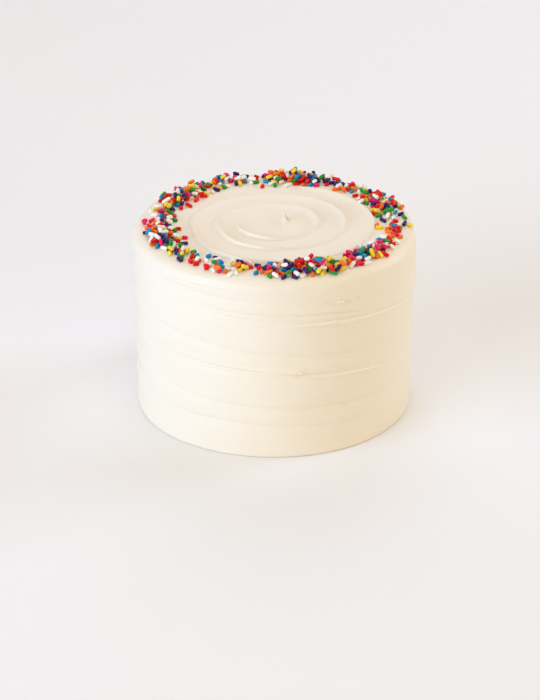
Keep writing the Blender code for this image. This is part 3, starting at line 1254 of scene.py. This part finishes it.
class Rest(NamedTuple):
    """A sprinkle that has come to rest: the height of its middle, and its slope."""

    sprinkle: Sprinkle
    height: float
    slope: float


@dataclass(frozen=True)
class HeightMap:
    """A map of how high things lie, which the sprinkles fall on."""

    half: float = 0.0900
    step: float = 0.0004

    def start(self, surface: Callable[[np.ndarray, np.ndarray], np.ndarray]) -> np.ndarray:
        """The map before anything has fallen."""
        ticks = np.arange(-self.half, self.half + self.step, self.step)
        return surface(ticks[None, :], ticks[:, None])

    def nearest(self, place: np.ndarray) -> np.ndarray:
        """The row or column nearest to each place."""
        return np.round((place + self.half) / self.step).astype(int)

    def cells(self, low: float, high: float) -> np.ndarray:
        """The rows or columns from one place to another."""
        first = math.floor((low + self.half) / self.step)
        return np.arange(first, math.ceil((high + self.half) / self.step))


@dataclass(frozen=True)
class SprinkleRing:
    """The ring of rod sprinkles. They fall one by one and lie on the icing or on each other.

    A share of them falls in heaps, each given by its degrees and its part of that share.
    """

    icing: Icing
    seed: int = 159
    count: int = 640
    radius: float = 0.00115
    lengths: tuple[float, float, float] = (0.0028, 0.0038, 0.0058)
    sunk: float = 0.00035
    steepest: float = 1.2
    roll_step: float = 0.0009
    most_rolls: int = 3
    least_drop: float = 0.0001
    ring_radius: float = 0.0692
    ring_spread: float = 0.0046
    ring_edges: tuple[float, float] = (0.0570, 0.0775)
    ring_shift: float = 0.0016
    heaped_share: float = 0.42
    heap_spread: float = 0.16
    heaps: tuple[tuple[float, float], ...] = (
        (22, 0.7), (82, 1.2), (112, 0.4), (148, 1.6), (197, 1.0), (287, 2.0), (318, 0.9),
    )
    stations: int = 9
    across: tuple[float, ...] = (-0.7, 0.0, 0.7)
    sides: int = 8
    end_steps: tuple[tuple[float, float], ...] = ((0.00042, 0.86), (0.00030, 0.52))
    thickness_spread: float = 0.06
    bow: float = 0.00022
    crease: float = math.radians(50)
    map: HeightMap = field(default_factory=HeightMap)

    def draw(self) -> list[Sprinkle]:
        """Every sprinkle of the ring, in the order in which they fall.

        Returns:
            The sprinkles.
        """
        draw = random.Random(self.seed)
        heaps = [math.radians(angle) for angle, _ in self.heaps]
        shares = [share for _, share in self.heaps]
        colours = list(SprinkleColour)
        counts = [colour.value[1] for colour in colours]
        shortest, usual, longest = self.lengths
        low, high = self.ring_edges
        drawn = []
        for _ in range(self.count):
            angle = draw.uniform(0.0, FULL_TURN)
            if draw.random() < self.heaped_share:
                angle = draw.gauss(draw.choices(heaps, shares)[0], self.heap_spread)
            out = min(max(draw.gauss(self.ring_radius, self.ring_spread), low), high)
            drawn.append(
                Sprinkle(
                    self.ring_shift + out * math.cos(angle),
                    out * math.sin(angle),
                    draw.uniform(0.0, math.pi),
                    draw.triangular(shortest, longest, usual),
                    draw.choices(colours, counts)[0],
                )
            )
        return drawn

    def rest_on(self, heights: np.ndarray, sprinkle: Sprinkle) -> Rest:
        """How a sprinkle lies once it has fallen: on the two points below that hold it up.

        Args:
            heights: the height map.
            sprinkle: the sprinkle.

        Returns:
            The sprinkle at rest.
        """
        along = np.linspace(-0.5, 0.5, self.stations) * sprinkle.length
        across = np.array(self.across) * self.radius
        cos, sin = math.cos(sprinkle.heading), math.sin(sprinkle.heading)
        x = sprinkle.x + along[:, None] * cos - across[None, :] * sin
        y = sprinkle.y + along[:, None] * sin + across[None, :] * cos
        below = heights[self.map.nearest(y), self.map.nearest(x)]
        needed = (below + np.sqrt(self.radius**2 - across**2)[None, :]).max(axis=1)
        middle = self.stations // 2
        best = (needed[middle], 0.0)
        for back in range(middle):
            for fore in range(middle + 1, self.stations):
                slope = (needed[fore] - needed[back]) / (along[fore] - along[back])
                best = max(best, (needed[back] - slope * along[back], slope))
        slope = min(max(best[1], -self.steepest), self.steepest)
        return Rest(sprinkle, float((needed - slope * along).max()), float(slope))

    def beside(self, sprinkle: Sprinkle) -> Iterator[Sprinkle]:
        """The places that a sprinkle could roll or slide to, within the ring.

        Args:
            sprinkle: the sprinkle.

        Returns:
            The sprinkle at each of those places in turn.
        """
        low, high = self.ring_edges
        for quarter in range(4):
            way = sprinkle.heading + 0.5 * math.pi * quarter
            x = sprinkle.x + self.roll_step * math.cos(way)
            y = sprinkle.y + self.roll_step * math.sin(way)
            if low < math.hypot(x - self.ring_shift, y) < high:
                yield sprinkle._replace(x=x, y=y)

    def settle(self, heights: np.ndarray, sprinkle: Sprinkle) -> Rest:
        """Lets a sprinkle fall, and then roll downhill a little.

        Args:
            heights: the height map.
            sprinkle: the sprinkle.

        Returns:
            The sprinkle at rest.
        """
        rest = self.rest_on(heights, sprinkle)
        for _ in range(self.most_rolls):
            others = [self.rest_on(heights, moved) for moved in self.beside(rest.sprinkle)]
            lowest = min(others, key=lambda other: other.height)
            if lowest.height > rest.height - self.least_drop:
                break
            rest = lowest
        return rest

    def pile_up(self, heights: np.ndarray, rest: Rest) -> None:
        """Raises the height map where the resting sprinkle now lies.

        Args:
            heights: the height map, which it changes.
            rest: the sprinkle at rest.
        """
        sprinkle = rest.sprinkle
        reach = 0.5 * sprinkle.length + self.radius
        columns = self.map.cells(sprinkle.x - reach, sprinkle.x + reach)
        rows = self.map.cells(sprinkle.y - reach, sprinkle.y + reach)
        x = columns[None, :] * self.map.step - self.map.half - sprinkle.x
        y = rows[:, None] * self.map.step - self.map.half - sprinkle.y
        along = x * math.cos(sprinkle.heading) + y * math.sin(sprinkle.heading)
        across = y * math.cos(sprinkle.heading) - x * math.sin(sprinkle.heading)
        covered = (np.abs(along) <= 0.5 * sprinkle.length) & (np.abs(across) < self.radius)
        round_top = np.sqrt(np.clip(self.radius**2 - across**2, 0.0, None))
        top = np.where(covered, rest.height + rest.slope * along + round_top, 0.0)
        patch = heights[rows[0] : rows[-1] + 1, columns[0] : columns[-1] + 1]
        np.maximum(patch, top, out=patch)

    def fallen(self) -> list[Rest]:
        """All the sprinkles, each resting on the icing or on those that fell before it.

        Returns:
            The sprinkles at rest, in the order in which they fell.
        """
        heights = self.map.start(self.icing.top_height)
        fallen = []
        for sprinkle in self.draw():
            rest = self.settle(heights, sprinkle)
            self.pile_up(heights, rest)
            fallen.append(rest)
        return fallen

    def rod(self) -> tuple[np.ndarray, list[tuple[int, ...]]]:
        """Models one sprinkle of the usual length along Z.

        Returns:
            Its points, and its faces by the numbers of their points.
        """
        rounded = sum(depth for depth, _ in self.end_steps)
        straight = 0.5 * self.lengths[1] - rounded
        select_only()
        bpy.ops.mesh.primitive_circle_add(
            vertices=self.sides, radius=self.radius, fill_type="NOTHING"
        )
        rod = bpy.context.object
        with editing(rod):
            bpy.ops.mesh.extrude_region_move(TRANSFORM_OT_translate={"value": (0.0, 0.0, straight)})
            narrowed = 1.0
            for depth, share in self.end_steps:
                bpy.ops.mesh.extrude_region_move(TRANSFORM_OT_translate={"value": (0.0, 0.0, depth)})
                bpy.ops.transform.resize(value=(share / narrowed, share / narrowed, 1.0))
                narrowed = share
            bpy.ops.mesh.edge_face_add()
        mirror = rod.modifiers.new("other end", "MIRROR")
        mirror.use_axis = (False, False, True)
        bpy.ops.object.modifier_apply(modifier=mirror.name)
        with editing(rod):
            bpy.ops.mesh.normals_make_consistent(inside=False)
        points = mesh_points(rod.data)
        faces = [tuple(face.vertices) for face in rod.data.polygons]
        bpy.data.objects.remove(rod, do_unlink=True)
        return points, faces

    def placed(self, points: np.ndarray, rest: Rest, look: random.Random) -> np.ndarray:
        """The rod's points where one sprinkle lies, with its own length, thickness and bow.

        Args:
            points: the rod's points.
            rest: the sprinkle at rest.
            look: draws how it differs from the others.

        Returns:
            The points in their places.
        """
        sprinkle = rest.sprinkle
        thick = 1 + look.uniform(-self.thickness_spread, self.thickness_spread)
        bow = look.uniform(-self.bow, self.bow)
        own = points.copy()
        own[:, :2] *= thick
        own[:, 2] += np.sign(own[:, 2]) * 0.5 * (sprinkle.length - self.lengths[1])
        own[:, 0] += bow * (1 - np.square(2 * own[:, 2] / sprinkle.length))
        along = Vector((math.cos(sprinkle.heading), math.sin(sprinkle.heading), rest.slope))
        spin = Matrix.Rotation(look.uniform(0, FULL_TURN), 3, "Z")
        turn = along.to_track_quat("Z", "Y").to_matrix() @ spin
        middle = np.array((sprinkle.x, sprinkle.y, rest.height - self.sunk))
        return own @ np.array(turn).T + middle

    def piece(
        self, colour: SprinkleColour, rests: list[Rest], look: random.Random
    ) -> bpy.types.Object:
        """All the sprinkles of one colour as one piece.

        Args:
            colour: the colour.
            rests: the sprinkles of that colour at rest.
            look: draws how each differs from the others.

        Returns:
            The piece.
        """
        points, faces = self.rod()
        spots, joined_faces, tints = [], [], []
        for number, rest in enumerate(rests):
            spots.append(self.placed(points, rest, look))
            joined_faces += [tuple(index + number * len(points) for index in face) for face in faces]
            tints += [look.random()] * len(points)
        name = f"sprinkles_{colour.name}"
        mesh = bpy.data.meshes.new(name)
        mesh.from_pydata(np.concatenate(spots).tolist(), [], joined_faces)
        kept = mesh.attributes.new(SprinkleFinish.TINT, "FLOAT", "POINT")
        kept.data.foreach_set("value", np.array(tints, np.float32))
        piece = linked(name, mesh)
        select_only(piece)
        bpy.ops.object.shade_smooth_by_angle(angle=self.crease)
        return piece

    def build(self) -> list[bpy.types.Object]:
        """Makes and dresses the ring, one piece for each colour.

        Returns:
            The pieces.
        """
        fallen = self.fallen()
        look = random.Random(self.seed + 1)
        pieces = []
        for colour in SprinkleColour:
            rests = [rest for rest in fallen if rest.sprinkle.colour is colour]
            piece = self.piece(colour, rests, look)
            hand_over(piece, SprinkleFinish(colour).material())
            pieces.append(piece)
        return pieces


@dataclass(frozen=True)
class Lamp:
    """A soft light, so wide and so high, that is aimed at the middle of the cake."""

    name: str
    degrees: float
    elevation: float
    size: tuple[float, float]
    power: float
    colour: tuple[float, float, float]
    distance: float = 2.3

    def build(self, target: Vector) -> bpy.types.Object:
        """Sets the light up, its degrees counted anticlockwise from the front.

        Args:
            target: what it is aimed at.

        Returns:
            The light.
        """
        data = bpy.data.lights.new(self.name, "AREA")
        data.shape = "RECTANGLE"
        data.size, data.size_y = self.size
        data.energy = self.power
        data.color = self.colour
        lamp = linked(self.name, data)
        turn = FRONT + math.radians(self.degrees)
        level = math.cos(math.radians(self.elevation))
        height = math.sin(math.radians(self.elevation))
        aim = Vector((math.cos(turn) * level, math.sin(turn) * level, height))
        lamp.location = target + self.distance * aim
        lamp.rotation_euler = aim.to_track_quat("Z", "Y").to_euler()
        return lamp


@dataclass(frozen=True)
class Studio:
    """The pale floor, the soft lights and the camera."""

    body: Body
    floor_size: float = 14.0
    world_colour: tuple[float, float, float] = (1.0, 0.698, 0.328)
    world_strength: float = 0.4985
    lamps: tuple[Lamp, ...] = (
        Lamp("window", -53, 17, (1.9, 1.1), 49.2, (0.457, 0.669, 1.0)),
        Lamp("warm_fill", 38, 10, (0.8, 0.8), 6.45, (1.0, 0.823, 0.381)),
        Lamp("right_fill", 110, 20, (1.0, 1.0), 23.4, (0.530, 0.721, 1.0)),
        Lamp("back_fill", 180, 45, (1.5, 1.5), 17.3, (0.565, 0.712, 1.0)),
        Lamp("ceiling", 0, 75, (1.6, 1.6), 12.5, (0.824, 0.963, 1.0)),
    )
    camera_place: tuple[float, float, float] = (-0.00262, -0.9800, 0.5239)
    camera_pitch: float = math.radians(26.875)
    lens: float = 93.68
    sensor: float = 36.0

    def floor(self) -> bpy.types.Object:
        """The floor that the cake stands on.

        Returns:
            The floor.
        """
        select_only()
        bpy.ops.mesh.primitive_plane_add(size=self.floor_size)
        floor = bpy.context.object
        floor.name = "floor"
        floor.data.materials.append(FloorFinish().material())
        return floor

    def world(self) -> None:
        """The even light from all round."""
        world = bpy.data.worlds.new("room")
        world.use_nodes = True
        background = world.node_tree.nodes["Background"]
        background.inputs["Color"].default_value = (*self.world_colour, 1.0)
        background.inputs["Strength"].default_value = self.world_strength
        bpy.context.scene.world = world
        bpy.context.scene.view_settings.view_transform = "Standard"

    def camera(self) -> bpy.types.Object:
        """The camera, at the photograph's viewing angle.

        Returns:
            The camera.
        """
        data = bpy.data.cameras.new("camera")
        data.lens = self.lens
        data.sensor_width = self.sensor
        camera = linked("camera", data)
        camera.location = self.camera_place
        camera.rotation_euler = (0.5 * math.pi - self.camera_pitch, 0.0, 0.0)
        bpy.context.scene.camera = camera
        return camera

    def build(self) -> None:
        """Sets up the studio."""
        self.world()
        self.floor()
        self.camera()
        middle = Vector((0.0, 0.0, 0.5 * self.body.height))
        for lamp in self.lamps:
            lamp.build(middle)
            log.info("%s: %.1f W", lamp.name, lamp.power)


def spatula_side(body: Body) -> Side:
    """The side as the spatula left it, with its two winding lines, marks and blemishes.

    Args:
        body: the cake's plain outline.

    Returns:
        The side.
    """
    first = SpatulaLine(
        (
            knots(
                (-60, 0.0090, 0.60), (-32, 0.0112, 0.80), (0, 0.0131, 0.50), (26, 0.0156, 0.45, 0.05),
                (45, 0.0178, 0.10), (90, 0.0220, 0.10), (180, 0.0300, 0.80), (270, 0.0355, 0.90),
            ),
            knots(
                (-70, 0.0370, 0.30), (-60, 0.0383, 0.55), (-40, 0.0397, 0.70), (-15, 0.0426, 0.75),
                (0, 0.0446, 0.90), (30, 0.0487, 1.20), (50, 0.0510, 0.25, 0.15), (75, 0.0540, 0.50),
                (180, 0.0640, 0.90), (270, 0.0700, 0.80),
            ),
            knots(
                (-70, 0.0716, 0.20), (-55, 0.0732, 0.45), (-35, 0.0756, 0.65), (-5, 0.0776, 0.90),
                (18, 0.0794, 1.20), (32, 0.0802, 1.50), (45, 0.0810, 0.40), (90, 0.0860, 0.60),
                (180, 0.0965, 0.60),
            ),
            knots((-60, 0.1060, 0.20), (60, 0.1190, 0.20)),
        )
    )
    second = SpatulaLine(
        (
            knots(
                (-90, 0.0195, 1.20), (-70, 0.0207, 0.80), (-50, 0.0208, 0.50),
                (-32, 0.0209, 0.45, 0.1), (-12, 0.0227, 0.50, 0.2), (0, 0.0242, 0.35, 0.5),
                (9, 0.0250, 0.38, 1.8), (18, 0.0259, 0.40, 2.2), (30, 0.0270, 0.48, 1.6),
                (40, 0.0281, 0.55, 0.8), (52, 0.0302, 0.85, 0.9), (90, 0.0345, 1.20, 0.2),
                (180, 0.0430, 0.90), (270, 0.0520, 1.00),
            ),
            knots(
                (-72, 0.0532, 0.35), (-50, 0.0543, 0.50), (-30, 0.0542, 0.70, 0.15),
                (-12, 0.0547, 0.95, 0.2), (0, 0.0562, 0.70, 0.35), (12, 0.0575, 0.90, 0.6),
                (19, 0.0583, 0.55, 1.7), (30, 0.0597, 0.46, 1.5), (42, 0.0614, 0.35, 0.6),
                (60, 0.0652, 0.50), (180, 0.0775, 0.90), (270, 0.0860, 0.80),
            ),
            knots(
                (-70, 0.0878, 0.25), (-45, 0.0880, 0.50), (-20, 0.0881, 0.70), (0, 0.0891, 0.90),
                (30, 0.0920, 0.70), (55, 0.0952, 0.20), (180, 0.1080, 0.30),
            ),
            knots((-60, 0.1190, 0.30)),
        ),
        phase=2.0,
    )
    marks = (
        Mark(knots((-45, 0.0042, 0.0), (-33, 0.0044, 0.7), (-18, 0.0047, 1.3), (0, 0.0052, 0.0))),
        Mark(knots((-55, 0.0080, 0.0), (-44, 0.0078, 0.4), (-30, 0.0072, 0.5), (-8, 0.0078, 0.0))),
        Mark(knots((-42, 0.0190, 0.0), (-26, 0.0194, 0.8), (-4, 0.0203, 1.4), (10, 0.0210, 1.4))),
        Mark(knots((9, 0.0210, 1.5), (20, 0.0217, 2.2), (31, 0.0232, 2.2), (40, 0.0250, 0.0))),
        Mark(
            knots(
                (-34, 0.0528, 0.0), (-20, 0.0534, 0.6), (-10, 0.0540, 0.8), (2, 0.0557, 1.1),
                (8.5, 0.0565, 1.3), (10.5, 0.0562, 0.0),
            ),
            dip=-0.00080,
            run_above=0.0012,
            run_below=0.0007,
        ),
        Mark(knots((-34, 0.0578, 0.0), (-25, 0.0566, 0.7), (-10, 0.0574, 0.8), (8, 0.0602, 0.0))),
        Mark(knots((-18, 0.0590, 0.0), (-6, 0.0596, 0.4), (12, 0.0616, 0.4), (22, 0.0632, 0.0))),
        Mark(knots((-10, 0.0470, 0.0), (4, 0.0478, 0.3), (22, 0.0500, 0.4), (34, 0.0516, 0.0))),
    )
    swellings = (
        Spot(86, 0.031, 30, 0.0065, 0.0012),
        Spot(-52, 0.107, 26, 0.008, 0.0012),
        Spot(45, 0.107, 22, 0.006, 0.0006),
    )
    tears = (
        Spot(22.6, 0.0158, 0.0016, 0.00040, 0.00035),
        Spot(29.2, 0.0163, 0.0016, 0.00050, 0.00040),
        Spot(25.6, 0.0144, 0.0009, 0.00040, 0.00035),
        Spot(34.3, 0.0160, 0.0009, 0.00045, 0.00050),
        Spot(24.0, 0.0302, 0.0012, 0.00040, 0.00035),
        Spot(28.6, 0.0312, 0.0012, 0.00035, 0.00030),
        Spot(9.0, 0.0574, 0.0020, 0.00040, 0.00040),
        Spot(29.0, 0.0806, 0.0018, 0.00035, 0.00030),
        Spot(29.0, 0.0906, 0.0024, 0.00035, 0.00030),
    )
    scallops = (
        Scallops(
            degrees=-95,
            wide=26,
            fullest=0.12,
            proud=0.0010,
            cuts=(
                (0.0, 0.0012), (0.020, 0.0022), (0.040, 0.0021), (0.065, 0.0017), (0.080, 0.0009),
                (0.105, 0.0010),
            ),
        ),
        Scallops(
            degrees=95,
            wide=22,
            fullest=0.78,
            proud=0.0004,
            cuts=(
                (0.030, 0.0), (0.038, 0.0019), (0.048, 0.0010), (0.060, 0.0008), (0.072, 0.0014),
                (0.085, 0.0010), (0.105, 0.0006),
            ),
        ),
    )
    return Side(body, first, second, marks, swellings, tears, scallops)


def main() -> None:
    """Builds the icing, the sprinkles and the studio."""
    logging.basicConfig(level=logging.INFO, format="%(name)s: %(message)s")
    body = Body()
    icing = Icing(body, spatula_side(body), Swirl(), Curl())
    buttercream = IcingFinish().material()
    icing.build(buttercream)
    TornFlaps(icing).build(buttercream)
    SprinkleRing(icing).build()
    Studio(body).build()


if __name__ == "__main__":
    main()
